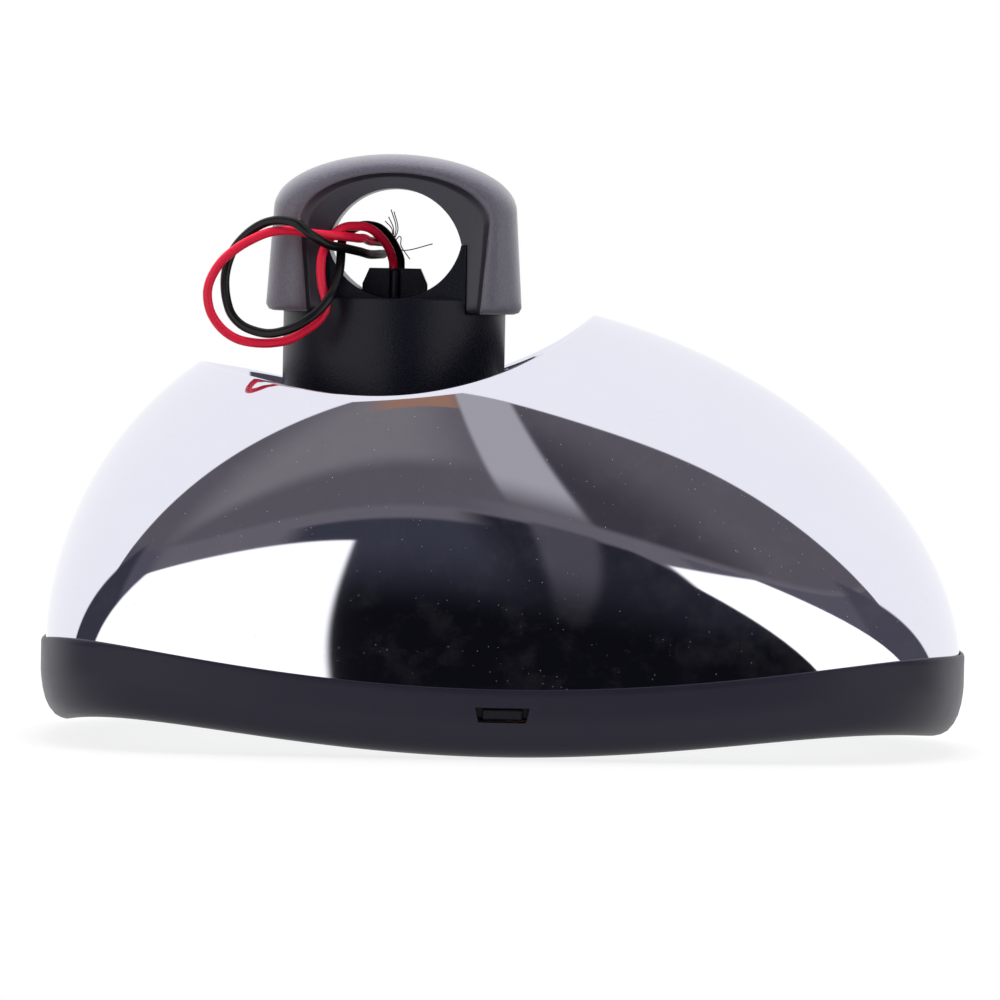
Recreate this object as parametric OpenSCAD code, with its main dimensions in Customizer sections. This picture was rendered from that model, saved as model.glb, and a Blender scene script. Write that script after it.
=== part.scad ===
// Heated convex mirror head on a tube clamp, lying face down.
// The arm tube runs along Y through the clamp, the mirror faces -Z.
// The origin is on the axis of the arm tube, in the middle of the clamp.
// The clamp is drawn without a tube: its loosened cap has come down on the neck.

/* [Head] */
// Length of the head over the bezel
head_length = 192; // [180:1:205]
// Depth of the head over the bezel
head_depth = 116; // [108:1:128]
// Distance from the neck axis to the middle of the head
neck_offset = 24; // [16:1:30]
// Distance from the neck axis to the crown of the cover
crown_offset = 10; // [4:1:16]
// Distance from the arm axis down to the crown of the cover
crown_drop = 12.6; // [11:0.2:16]
// Distance from the arm axis down to the rim's lowest edge
rim_drop = 104.6; // [101:0.2:108]
// Wall of the back cover
cover_wall = 2.2; // [1.6:0.1:3]
// Radius of the scoop in the cover around the neck
scoop_r = 41.3; // [38:0.1:44]

/* [Bezel] */
// Height of the bezel's band
band_height = 13; // [12:0.5:16]
// Wall of the bezel's band
band_wall = 3.4; // [2.8:0.1:4]
// Width of the lip in front of the glass
lip_width = 4.2; // [3:0.1:6]
// Length of a snap window in the band
window_length = 10; // [7:0.5:14]
// Height of a snap window in the band
window_height = 2.8; // [2.2:0.1:3.4]

/* [Glass] */
// Radius of the convex mirror face
glass_radius = 480; // [440:10:700]
// Thickness of the mirror glass
glass_t = 2.2; // [1.8:0.1:3]
// Thickness of the heater pad
heater_t = 0.5; // [0.3:0.1:1]
// Thickness of the backing plate
backing_t = 2.4; // [2:0.1:3]
// Thickness of the inner frame's plate
frame_t = 2.5; // [2:0.1:3.5]

/* [Neck and clamp] */
// Diameter of the arm tube
arm_d = 28; // [26:0.1:28.4]
// Diameter of the neck
neck_d = 46.2; // [45:0.1:47]
// Length of the clamp along the arm
clamp_length = 36; // [32:1:40]
// Width of the clamp cap over its arms
cap_width = 53; // [51:0.5:56]
// Height of the clamp cap above its own bore axis
cap_rise = 21.1; // [19.5:0.1:23]
// Depth of the cap's arms below its own bore axis
arm_drop = 11.3; // [10.6:0.1:12]
// How far the loosened cap has come down without a tube
cap_sink = 5.3; // [4.5:0.1:5.6]
// Travel of the cap from there until its screw heads stop it
cap_travel = 8; // [6:0.5:9]
// Distance from the arm axis down to the ball's centre
pivot_drop = 54.6; // [53.6:0.2:55.6]
// Radius of the pivot ball
ball_r = 16; // [15:0.5:17]
// Length of the key that carries the leads into the arm
key_length = 12; // [9:0.5:14]
// Diameter of a lead over its insulation
lead_d = 1.9; // [1.6:0.1:2.1]

/* [Hidden] */
// Running clearances
slip = 0.2;
ball_gap = 0.1;
seat_gap = 0.3;

// Points around every outline
steps = 96;

// Heights below the arm axis
rim_z = -rim_drop;
pivot_z = -pivot_drop;
glass_recess = 4.6;
rabbet = 3;
gasket_t = 0.8;
cover_inset = 1;
rabbet_floor = band_height - rabbet;
cover_foot = rabbet_floor + gasket_t;
corner_lift = 1e-7;

// Shape of the head in plan
head_x = neck_offset;
reach_right = head_x + head_length / 2 - crown_offset;
reach_side = head_depth / 2;
reach_mid = head_length / 2;
top_square = -0.6;
foot_square = 0.75;

// Scoop around the neck
opening_r = neck_d / 2 + 3.9;
scoop_floor = -48.6;
scoop_rise = 38;

// Glass stack, measured as radii from the common centre of its faces
glass_in = glass_radius - glass_t;
heater_in = glass_in - heater_t;
backing_in = heater_in - backing_t;
glass_z = rim_z + glass_recess - reach_side * reach_side / (2 * glass_radius) + glass_radius;
glass_inset = band_wall + slip;
boss_height = 4.3;
frame_out = backing_in - boss_height - slip;
frame_in = frame_out - frame_t;
frame_inset = band_wall + 3;
stack_depth = 60;

// Ball pivot
liner_t = 1;
seat_in = ball_r + liner_t + 2 * ball_gap;
seat_t = 3.4;
seat_out = seat_in + seat_t;
stem_r = 6;
stem_bore = 2.7;
seat_hole = 9.6;
washer_t = 3;
washer_r = 15;
washer_in = seat_out + ball_gap;
spring_z = pivot_z - washer_in - washer_t;
spring_length = 7;
spring_wire = 0.9;
spring_r = 9;
spring_turns = 2;
plate_t = 1.2;
nut_t = 4.5;
nut_r = 10;
stem_end = spring_z - spring_length - plate_t - nut_t - 1;

// Clamp
bore_r = arm_d / 2;
neck_r = neck_d / 2;
shoulder_z = -arm_drop - cap_sink - seat_gap;
neck_foot = scoop_floor + 4;
neck_step = -bore_r;
tongue_w = bore_r + 0.8;
parting = -2.7;
slot_top = parting + cap_sink + seat_gap;
cap_depth = clamp_length + 4;
border_w = 7.6;
border_h = 2.4;
cap_shoulder = 9.6;
cap_draft = 1.4;
cap_round = 8;
screw_x = (tongue_w + slip + neck_r) / 2 - 0.3;
screw_r = 2;
screw_head_r = 3.3;
screw_head_h = 2.6;
screw_web = 5;
channel_r = screw_head_r + 0.3;
screw_seat = shoulder_z - screw_web - cap_travel - 0.2;
insert_r = 2.9;
insert_length = 8;
key_top = -7.8;
key_top_w = 10.6;
key_foot_w = 13.4;
grommet_r = 3.4;

// Frame screws
frame_screws_n = 6;
frame_screw_r = 1.6;
frame_boss_r = 3.6;
screw_ring = 0.8;

// Routes of the two leads from the key to their cut ends, in the neck's frame
red_route = [
    [-0.4, -1.2, stem_end + 1], [-0.4, -1.2, -7.6], [-0.55, -1.6, -6.1], [-1.5, -3.8, -3.5],
    [-3.3, -7, -1.1], [-5.6, -10.5, 0.5], [-8.3, -13.8, 0.8], [-10.9, -16.7, 0.3],
    [-13.2, -19.1, -1.8], [-14.6, -20.7, -4.6], [-15, -21.7, -7.6], [-14.7, -22.3, -11.2],
    [-13.9, -22.8, -14.2], [-13.9, -23.4, -16.6], [-15.3, -23.9, -18.8], [-17.6, -24.4, -20.6],
    [-20.8, -24.9, -22.6], [-24.2, -25.2, -23.4], [-27.8, -25.4, -23.5], [-31.6, -25.7, -22.8],
    [-34.7, -25.8, -20.9], [-37, -25.9, -17.9], [-37.9, -26, -14.8], [-37.8, -26.1, -12],
    [-36.7, -26.1, -9.2], [-34.7, -26.2, -6.4], [-31.8, -26.1, -4], [-28.8, -26, -2.2],
    [-25.8, -25.8, -0.9], [-22.8, -25.3, -0.4], [-19.6, -24.8, -0.5], [-16.8, -24, -0.9],
    [-14.2, -22.6, -1.1], [-11.4, -20.5, -1.3], [-9.2, -17.6, -1.5], [-7.4, -14.3, -1.7],
    [-6.4, -10.6, -1.7], [-5.4, -6.8, -2.2], [-4.2, -3.1, -2.3], [-2.7, 0.7, -2.4]];
black_route = [
    [1, 1.1, stem_end + 1], [1, 1.1, -7.4], [0.8, 0.7, -5.4], [-0.9, -1.3, -2], [-3.1, -4.1, 0.3],
    [-5.3, -6.4, 1], [-7.4, -8.7, 0.8], [-9.3, -11, -0.2], [-10.7, -13.2, -1.8], [-11, -15.5, -3.8],
    [-11, -17.9, -6], [-11.2, -20.6, -8.7], [-11.9, -23, -11.5], [-13, -25, -13.8],
    [-14.6, -26.2, -16.1], [-17, -27, -18.2], [-19.6, -27.2, -19.9], [-22.4, -27, -21],
    [-25.2, -26.5, -21.5], [-28, -25.9, -21.1], [-30.9, -25, -19.9], [-33, -24.2, -17.8],
    [-34, -23.5, -15.3], [-34.5, -23, -12.5], [-34.5, -22.6, -9.7], [-33.9, -22.6, -6.9],
    [-33, -22.7, -4.7], [-31.3, -23.1, -2.4], [-29, -23.7, -0.3], [-26.5, -24.6, 1.1],
    [-23.9, -25.9, 1.7], [-21.8, -26.9, 1.6], [-20.1, -27.6, 1.1], [-17.8, -27.6, -0.5],
    [-15.9, -26.6, -1.8], [-13.6, -24.2, -3.1], [-10.6, -20, -3.7], [-7.4, -13.9, -4.4],
    [-5.2, -6.6, -5], [-2.6, 1.2, -4.9]];
// Routes of the two leads inside the head, from the stem's end to the heater's terminals
terminal_x = 17;
terminal_y = [4, -8];
terminal_t = 1.6;
tail_z = stem_end - lead_d / 2 - 1.2;
tail_end = layer_z(backing_in, terminal_x, terminal_y[1]) + terminal_t + lead_d / 2 + 0.2;
function tail_route(x, y, to_y) = [[x, y, tail_z + 0.5], [x + 1.4, y, tail_z - 0.2], [x + 5, y + (to_y - y) * 0.3, tail_z - 1],
    [terminal_x - 5, y + (to_y - y) * 0.8, tail_end + 0.4], [terminal_x - 2, to_y, tail_end], [terminal_x + 1, to_y, tail_end]];

$fn = 64;

// Bow of the rim: the mirror's own curve, with the corners lifted a little more
function bow(x, y) = ((x - head_x) * (x - head_x) + y * y) / (2 * glass_radius)
    + corner_lift * (x - head_x) * (x - head_x) * y * y;
// Height of the rim's lower edge at a point of the outline
function rim_at(x, y) = rim_z + bow(x, y) - bow(head_x, reach_side);

// Outline of the head, seen from the crown, at a share rho of its full reach: an ellipse at
// squareness 0, a rectangle at 1, and one even curve without a break in between
function square_at(rho) = top_square + (foot_square - top_square) * min(rho, 1) * min(rho, 1);
function reach_at(phi, rho, inset) = let (
        along = reach_mid + (reach_right - reach_mid) * cos(phi) - inset,
        across = reach_side - inset,
        u = pow(cos(phi) / along, 2),
        v = pow(sin(phi) / across, 2))
    sqrt(2 / (u + v + sqrt(pow(u + v, 2) - 4 * square_at(rho) * u * v)));
function outline_at(phi, rho, inset) = let (r = rho * reach_at(phi, rho, inset))
    [crown_offset + r * cos(phi), r * sin(phi)];
function rim_edge(phi) = let (edge = outline_at(phi, 1, 0)) rim_at(edge[0], edge[1]);
function outline(inset) = [for (i = [0:steps - 1]) outline_at(360 * i / steps, 1, inset)];

// Outer surface of the cover, drawn in by an inset
crown_z = -crown_drop;
function fullness(phi) = 1.9 - 0.1 * cos(phi) + 0.1 * pow(sin(phi), 2);
function dome_at(phi, rho, inset) = let (
        base = rim_edge(phi) + band_height,
        p = fullness(phi),
        xy = outline_at(phi, rho, inset))
    [xy[0], xy[1], base + (crown_z - inset + cover_inset - base) * pow(1 - pow(min(rho, 1), p), 1 / p)];

// Scoop around the neck, a quarter of an ellipse from its floor to its upright wall
function scoop_at(z, grow) = let (t = min(1, max(0, (z - scoop_floor + grow) / scoop_rise)))
    opening_r + (scoop_r + grow - opening_r) * sqrt(1 - (1 - t) * (1 - t));
function scoop_z(r, grow) = let (s = min(1, (r - opening_r) / (scoop_r + grow - opening_r)))
    scoop_floor - grow + scoop_rise * (1 - sqrt(1 - s * s));
function past_scoop(phi, rho, inset, grow) = let (q = dome_at(phi, rho, inset))
    norm([q[0], q[1]]) - scoop_at(q[2], grow);
// Share of the reach at which the dome meets the scoop, by halving
function lip_rho(phi, inset, grow, low = 0.05, high = 0.98, left = 24) = let (mid = (low + high) / 2)
    left == 0 ? mid
    : past_scoop(phi, mid, inset, grow) < 0 ? lip_rho(phi, inset, grow, mid, high, left - 1)
    : lip_rho(phi, inset, grow, low, mid, left - 1);

// One line of the cover's skin from the neck opening, over the lip, down to the foot
scoop_rings = 5;
dome_rings = 11;
lip_round = 1.2;
function blend(a, b, c, t) = (1 - t) * (1 - t) * a + 2 * t * (1 - t) * b + t * t * c;
function ease(t) = 1 - (1 - t) * (1 - t);
function skin_line(phi, inset, grow) = let (
        rho_lip = lip_rho(phi, inset, grow),
        lip = dome_at(phi, rho_lip, inset),
        out = [lip[0], lip[1]] / norm([lip[0], lip[1]]),
        low_z = lip[2] - lip_round,
        low_r = scoop_at(low_z, grow),
        low = [out[0] * low_r, out[1] * low_r, low_z],
        rho_top = rho_lip + lip_round / reach_at(phi, rho_lip, inset),
        top = dome_at(phi, rho_top, inset),
        foot = outline_at(phi, 1, inset))
    concat(
        [for (i = [0:scoop_rings - 1]) let (r = opening_r + (low_r - opening_r) * ease(i / scoop_rings))
            [out[0] * r, out[1] * r, scoop_z(r, grow)]],
        [for (t = [0, 1 / 3, 2 / 3]) blend(low, lip, top, t)],
        [for (i = [0:dome_rings]) dome_at(phi, rho_top + (1 - rho_top) * ease(i / dome_rings), inset)],
        [[foot[0], foot[1], rim_edge(phi) + cover_foot]]);

// A closed band: every column is a closed section, and the columns go once round
function flat(lists) = [for (list = lists) each list];
function ring_faces(columns, rows) = flat([for (i = [0:columns - 1]) let (j = (i + 1) % columns)
    flat([for (k = [0:rows - 1]) let (l = (k + 1) % rows)
        [[i * rows + k, i * rows + l, j * rows + l], [i * rows + k, j * rows + l, j * rows + k]]])]);
module ring(sections) {
    polyhedron(points = flat(sections), faces = ring_faces(len(sections), len(sections[0])), convexity = 8);
}
function reversed(list) = [for (i = [len(list) - 1:-1:0]) list[i]];

// A round tube along a route, with one ring at every point
function unit(v) = v / norm(v);
function along_route(route, i) = unit(route[min(i + 1, len(route) - 1)] - route[max(i - 1, 0)]);
function across_route(t) = unit(cross(t, abs(t[1]) < 0.9 ? [0, 1, 0] : [1, 0, 0]));
function carry(route, i, side) = let (t = along_route(route, i)) unit(side - t * (side * t));
function sides_of(route, i = 0, side = [0, 0, 0], found = []) = i == len(route) ? found
    : let (next = i == 0 ? across_route(along_route(route, 0)) : carry(route, i, side))
        sides_of(route, i + 1, next, concat(found, [next]));
module tube(route, r, n = 8) {
    sides = sides_of(route);
    loft([for (i = [0:len(route) - 1]) let (t = along_route(route, i), u = sides[i], v = cross(t, u))
        [for (k = [0:n - 1]) route[i] + r * (u * cos(360 * k / n) + v * sin(360 * k / n))]]);
}
// A solid through closed outlines one behind the other, with flat ends
module loft(outlines) {
    n = len(outlines[0]);
    last = (len(outlines) - 1) * n;
    walls = flat([for (i = [0:len(outlines) - 2]) flat([for (k = [0:n - 1]) let (l = (k + 1) % n)
        [[i * n + k, (i + 1) * n + l, i * n + l], [i * n + k, (i + 1) * n + k, (i + 1) * n + l]]])]);
    polyhedron(points = flat(outlines), faces = concat(walls,
        [[for (k = [0:n - 1]) k], [for (k = [n - 1:-1:0]) last + k]]), convexity = 8);
}

// A sheet between two of the glass stack's spheres, cut to the outline
module glass_layer(outer, inner, inset) {
    intersection() {
        translate([head_x, 0, glass_z]) difference() {
            sphere(r = outer, $fn = 128);
            sphere(r = inner, $fn = 128);
        }
        translate([0, 0, rim_z - 5]) linear_extrude(stack_depth) polygon(outline(inset));
    }
}
// The same sheet with its curve in narrow cones, for plates that carry bosses and holes
cone_step = 8;
module plate_layer(outer, inner, inset) {
    reach = norm([head_length, head_depth]) / 2;
    places = [0:cone_step:reach + cone_step];
    intersection() {
        translate([head_x, 0, 0]) rotate_extrude() polygon(concat(
            [for (r = places) [r, layer_z(outer, head_x + r, 0)]],
            reversed([for (r = places) [r, layer_z(inner, head_x + r, 0)]])));
        translate([0, 0, rim_z - 5]) linear_extrude(stack_depth) polygon(outline(inset));
    }
}
function layer_z(radius, x, y) = glass_z
    - sqrt(radius * radius - (x - head_x) * (x - head_x) - y * y);

module back_cover() {
    color("silver") ring([for (i = [0:steps - 1]) let (phi = 360 * i / steps)
        concat(skin_line(phi, cover_inset, 0),
            reversed(skin_line(phi, cover_inset + cover_wall, cover_wall)))]);
}

// Section of the band: distance in from the outline and height above the rim's lower edge,
// without a height where the lip meets the glass
band_section = [[0, band_height], [0, 7], [0.45, 4.2], [1.5, 1.9], [3.2, 0.5], [5.2, 0],
    [band_wall + lip_width - 0.5, 0.2], [band_wall + lip_width, 0.9],
    [band_wall + lip_width], [band_wall], [band_wall, rabbet_floor],
    [cover_inset - slip, rabbet_floor], [cover_inset - slip, band_height]];
function band_line(phi, section) = [for (s = section) let (xy = outline_at(phi, 1, s[0]))
    [xy[0], xy[1], len(s) == 1 ? layer_z(glass_radius, xy[0], xy[1]) - 0.1 : rim_edge(phi) + s[1]]];
window_w = rabbet_floor - 0.8 - window_height / 2;

// The four snap windows, one in the middle of each side: place and turn
window_sides = [for (turn = [0, 90, 180, 270]) let (
        x = turn == 0 ? head_x + head_length / 2 : turn == 180 ? head_x - head_length / 2 : head_x,
        y = turn == 90 ? reach_side : turn == 270 ? -reach_side : 0)
    [x, y, rim_at(x, y) + window_w, turn]];
module at_windows() {
    for (w = window_sides) translate([w[0], w[1], w[2]]) rotate(w[3]) children();
}

module bezel() {
    color("#26262a") difference() {
        ring([for (i = [0:steps - 1]) reversed(band_line(360 * i / steps, band_section))]);
        at_windows() cube([4 * band_wall, window_length, window_height], center = true);
    }
}

gasket_section = [[cover_inset, cover_foot - 0.1], [cover_inset, rabbet_floor + 0.1],
    [cover_inset + cover_wall - slip, rabbet_floor + 0.1], [cover_inset + cover_wall - slip, cover_foot - 0.1]];
module cover_gasket() {
    color("#151515") ring([for (i = [0:steps - 1]) reversed(band_line(360 * i / steps, gasket_section))]);
}

module mirror_glass() { color("lightsteelblue") glass_layer(glass_radius, glass_in, glass_inset); }
module heater_pad() { color("orange") glass_layer(glass_in, heater_in, glass_inset + 4); }

// Places of the frame's screws, on a ring drawn in from the outline
screw_spots = [for (i = [0:frame_screws_n - 1]) outline_at(30 + 360 * i / frame_screws_n, screw_ring, 0)];
module at_screws(radius) {
    for (s = screw_spots) translate([s[0], s[1], layer_z(radius, s[0], s[1])]) children();
}

module backing_plate() {
    color("#202022") difference() {
        union() {
            plate_layer(heater_in - 0.05, backing_in, glass_inset);
            at_screws(backing_in) translate([0, 0, -backing_t / 2])
                cylinder(r = frame_boss_r, h = boss_height - 0.7 + backing_t / 2);
            at_windows() translate([-band_wall - 0.6, 0, 0])
                cube([band_wall + 0.4, window_length - 2, window_height - 0.8], center = true);
        }
        at_screws(backing_in) translate([0, 0, 0.4]) cylinder(r = frame_screw_r, h = 3 * boss_height);
    }
}
module heater_terminals() {
    color("goldenrod") for (y = terminal_y) translate([terminal_x, y, tail_end - lead_d / 2 - 0.05])
        translate([0, 0, -terminal_t / 2]) cube([6, 3, terminal_t], center = true);
}

// Tower of the frame: a ball seat on a flared skirt
skirt_foot_r = 34;
skirt_t = 3;
seat_top = 84;
seat_low = asin(seat_hole / seat_in);
function seat_arc(r, from, to, n = 12) = [for (i = [0:n]) let (a = from + (to - from) * i / n)
    [r * sin(a), pivot_z - r * cos(a)]];
module tower() {
    foot_z = layer_z(frame_out, 0, 0) + frame_t / 2;
    rotate_extrude() polygon(concat(
        seat_arc(seat_in, seat_low, seat_top),
        [[seat_out + 2.5, pivot_z - 2], [skirt_foot_r, foot_z], [skirt_foot_r - skirt_t, foot_z]],
        seat_arc(seat_out, 66, asin(seat_hole / seat_out))));
}
module inner_frame() {
    rib_z = layer_z(frame_in, 0, 0) - frame_t / 2;
    color("#232326") difference() {
        union() {
            difference() {
                plate_layer(frame_out, frame_in, frame_inset);
                translate([0, 0, rim_z - 5]) cylinder(r = skirt_foot_r - skirt_t / 2, h = stack_depth);
            }
            tower();
            for (a = [0:45:315]) rotate(a) translate([skirt_foot_r - 2.2, 0, rib_z]) rotate([90, 0, 0])
                linear_extrude(2.4, center = true) polygon([[0, 0], [18, 0], [0, 16], [-5, 16]]);
        }
        at_screws(frame_out) translate([0, 0, -2 * frame_t])
            cylinder(r = frame_screw_r + 0.3, h = 5 * frame_t);
        at_screws(frame_in) cylinder(r = 3.8, h = frame_t);
    }
}
module frame_screws() {
    color("gainsboro") at_screws(frame_in) {
        cylinder(r = 3.2, h = 2.2);
        translate([0, 0, -frame_t - boss_height + 0.5]) cylinder(r = frame_screw_r - 0.05, h = frame_t + boss_height);
    }
}

// Outline of the cap in its front view, two upright arms under half an ellipse, and the softer
// outline of the sunken face inside its border
function arch(foot_x, spring_x, spring_z, top_z) = concat([[foot_x, -arm_drop]],
    [for (a = [0:7.5:180]) [spring_x * cos(a), spring_z + (top_z - spring_z) * sin(a)]],
    [[-foot_x, -arm_drop]]);
cap_outside = arch(cap_width / 2, cap_width / 2 - cap_draft, cap_shoulder, cap_rise);
cap_border = arch(cap_width / 2 - border_w - 1.1, cap_width / 2 - border_w + 0.5, cap_shoulder - 2.6, cap_rise - 3.3);
// The outline at an angle of the border's broad rounding, from the rear to the front
function cap_row(angle) = let (share = 0.84 * (1 - cos(angle)),
        y = -sign(angle) * (cap_depth / 2 - cap_round + cap_round * sin(abs(angle))))
    [for (i = [0:len(cap_outside) - 1]) let (p = cap_outside[i] + (cap_border[i] - cap_outside[i]) * share)
        [p[0], y, p[1]]];
module clamp_cap() {
    face = clamp_length - 1;
    sunk_half = cap_border[0][0];
    color("#2c2c30") translate([0, 0, -cap_sink]) difference() {
        loft([for (angle = [-90, -72, -54, -36, -18, -0.01, 0.01, 18, 36, 54, 72, 90]) cap_row(angle)]);
        // bore and the slot over the neck's tongue
        rotate([90, 0, 0]) cylinder(r = bore_r, h = 2 * cap_depth, center = true, $fn = 128);
        translate([0, 0, -arm_drop]) cube([2 * (tongue_w + slip), 2 * cap_depth, 2 * (arm_drop + slot_top)], center = true);
        // recessed face inside the raised border, front and rear
        for (side = [-1, 1]) translate([0, side * (face / 2 + border_h), 0]) rotate([90, 0, 0])
            linear_extrude(2 * border_h, center = true)
                polygon(concat([[sunk_half, -2 * arm_drop]], cap_border, [[-sunk_half, -2 * arm_drop]]));
        for (side = [-1, 1]) translate([side * screw_x, 0, -arm_drop - 1]) {
            cylinder(r = insert_r, h = insert_length + 1.5);
            cylinder(r = screw_r + 0.4, h = arm_drop + 3);
        }
    }
}
module clamp_inserts() {
    color("goldenrod") for (side = [-1, 1]) translate([side * screw_x, 0, -arm_drop - cap_sink + 0.5]) difference() {
        cylinder(r = insert_r, h = insert_length);
        translate([0, 0, -1]) cylinder(r = screw_r + 0.05, h = insert_length + 2);
    }
}
module clamp_screws() {
    color("silver") for (side = [-1, 1]) translate([side * screw_x, 0, screw_seat - 0.8]) difference() {
        union() {
            cylinder(r = screw_r, h = screw_web + cap_travel + 1.3 + insert_length + 2);
            translate([0, 0, -screw_head_h]) cylinder(r = screw_head_r, h = screw_head_h);
        }
        translate([0, 0, -screw_head_h - 1]) cylinder(r = 1.7, h = 2.4, $fn = 6);
    }
}
module screw_washers() {
    color("gainsboro") for (side = [-1, 1]) translate([side * screw_x, 0, screw_seat - 0.8]) difference() {
        cylinder(r = screw_head_r, h = 0.8);
        translate([0, 0, -1]) cylinder(r = screw_r + 0.05, h = 3);
    }
}

module key() {
    intersection() {
        rotate([90, 0, 0]) linear_extrude(key_length, center = true)
            polygon([[-key_foot_w / 2, -bore_r - 1], [key_foot_w / 2, -bore_r - 1], [key_foot_w / 2, -bore_r + 3],
                [key_top_w / 2, key_top], [-key_top_w / 2, key_top], [-key_foot_w / 2, -bore_r + 3]]);
        translate([0, 0, -bore_r]) cube([2 * key_foot_w, 2 * key_length, 2 * bore_r], center = true);
    }
    translate([0, -key_length / 2, -bore_r - 1]) cylinder(r = 1.1, h = bore_r + 1 + key_top - 0.4);
}
module mounting_neck() {
    color("#1c1c20") difference() {
        union() {
            difference() {
                union() {
                    // round neck with an eased foot
                    rotate_extrude() polygon([[0, neck_foot], [neck_r - 2.6, neck_foot], [neck_r - 0.8, neck_foot + 0.8],
                        [neck_r, neck_foot + 2.6], [neck_r, shoulder_z], [0, shoulder_z]]);
                    // tongue between the cap's arms
                    intersection() {
                        translate([0, 0, shoulder_z - 1]) cylinder(r = neck_r, h = neck_step - shoulder_z + 1);
                        cube([2 * tongue_w, 4 * neck_r, 4 * neck_d], center = true);
                    }
                    translate([-tongue_w, -clamp_length / 2, neck_step - 1])
                        cube([2 * tongue_w, clamp_length, parting - neck_step + 1]);
                }
                rotate([90, 0, 0]) cylinder(r = bore_r, h = 3 * neck_d, center = true, $fn = 128);
            }
            key();
            // ball under the neck, and its hollow stem
            translate([0, 0, pivot_z]) intersection() {
                sphere(r = ball_r);
                translate([0, 0, -ball_r + 2]) cylinder(r = 2 * ball_r, h = 2 * ball_r);
            }
            translate([0, 0, pivot_z]) cylinder(r1 = ball_r - 3, r2 = ball_r - 1, h = neck_foot - pivot_z + 1);
            translate([0, 0, stem_end]) cylinder(r = stem_r, h = pivot_z - stem_end);
        }
        translate([0, 0, stem_end - 1]) cylinder(r = stem_bore, h = -stem_end + key_top - 3);
        translate([0, 0, key_top - 5]) cylinder(r = grommet_r, h = 10);
        for (side = [-1, 1]) translate([side * screw_x, 0, 0]) {
            translate([0, 0, neck_foot - 10]) cylinder(r = channel_r, h = shoulder_z - screw_web - neck_foot + 10);
            translate([0, 0, neck_foot]) cylinder(r = screw_r + 0.4, h = 2 * neck_r);
        }
    }
}
module lead_grommet() {
    color("#101012") translate([0, 0, key_top - 5]) difference() {
        cylinder(r = grommet_r - 0.05, h = 5);
        translate([-0.4, -1.2, -1]) cylinder(r = lead_d / 2 + 0.05, h = 8);
        translate([1, 1.1, -1]) cylinder(r = lead_d / 2 + 0.05, h = 8);
    }
}

module pivot_liner() {
    color("ivory") rotate_extrude() polygon(concat(
        seat_arc(ball_r + ball_gap, 42, 80), reversed(seat_arc(ball_r + ball_gap + liner_t, 42, 80))));
}
module pressure_washer() {
    color("dimgray") rotate_extrude() polygon(concat(
        [[stem_r + 0.1, spring_z], [stem_r + 0.1, pivot_z - sqrt(washer_in * washer_in - pow(stem_r + 0.1, 2))]],
        seat_arc(washer_in, asin((stem_r + 0.1) / washer_in), asin(washer_r / washer_in)),
        [[washer_r, spring_z]]));
}
function coil_point(i, n) = let (t = i / n, a = 360 * spring_turns * t)
    [spring_r * cos(a), spring_r * sin(a), spring_z - spring_wire - (spring_length - 2 * spring_wire) * t];
module pivot_spring() {
    n = 18 * spring_turns;
    color("silver") tube([for (i = [0:n]) coil_point(i, n)], spring_wire);
}
module spring_plate() {
    color("gainsboro") translate([0, 0, spring_z - spring_length - plate_t]) difference() {
        cylinder(r = spring_r + 3, h = plate_t);
        translate([0, 0, -1]) cylinder(r = stem_r + 0.1, h = plate_t + 2);
    }
}
module pivot_nut() {
    color("silver") translate([0, 0, spring_z - spring_length - plate_t - nut_t]) difference() {
        cylinder(r = nut_r, h = nut_t, $fn = 6);
        translate([0, 0, -1]) cylinder(r = stem_r + 0.02, h = nut_t + 2);
    }
}

module red_lead() { color("crimson") tube(red_route, lead_d / 2); }
module black_lead() { color("#151515") tube(black_route, lead_d / 2); }
module red_tail() { color("crimson") tube(tail_route(-0.4, -1.2, terminal_y[0]), lead_d / 2); }
module black_tail() { color("#151515") tube(tail_route(1, -4.4, terminal_y[1]), lead_d / 2); }

back_cover();
bezel();
cover_gasket();
mirror_glass();
heater_pad();
backing_plate();
inner_frame();
frame_screws();
heater_terminals();
mounting_neck();
clamp_cap();
clamp_screws();
screw_washers();
clamp_inserts();
lead_grommet();
pivot_liner();
pressure_washer();
pivot_spring();
spring_plate();
pivot_nut();
red_lead();
black_lead();
red_tail();
black_tail();
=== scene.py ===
from math import radians

import bmesh
import bpy
import numpy as np
from mathutils import Matrix, Vector


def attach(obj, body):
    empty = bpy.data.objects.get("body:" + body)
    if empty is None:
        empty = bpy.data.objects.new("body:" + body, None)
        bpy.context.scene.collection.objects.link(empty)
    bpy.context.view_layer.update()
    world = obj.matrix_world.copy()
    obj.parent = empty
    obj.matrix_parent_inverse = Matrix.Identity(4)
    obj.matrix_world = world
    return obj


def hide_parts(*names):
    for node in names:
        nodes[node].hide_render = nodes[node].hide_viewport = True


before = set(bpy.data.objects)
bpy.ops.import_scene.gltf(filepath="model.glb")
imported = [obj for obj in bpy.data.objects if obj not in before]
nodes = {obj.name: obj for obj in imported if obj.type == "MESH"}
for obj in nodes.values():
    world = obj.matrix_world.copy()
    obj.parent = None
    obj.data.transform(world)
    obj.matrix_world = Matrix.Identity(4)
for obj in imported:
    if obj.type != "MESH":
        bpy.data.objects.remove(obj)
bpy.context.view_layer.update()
MM = 0.001


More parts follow.
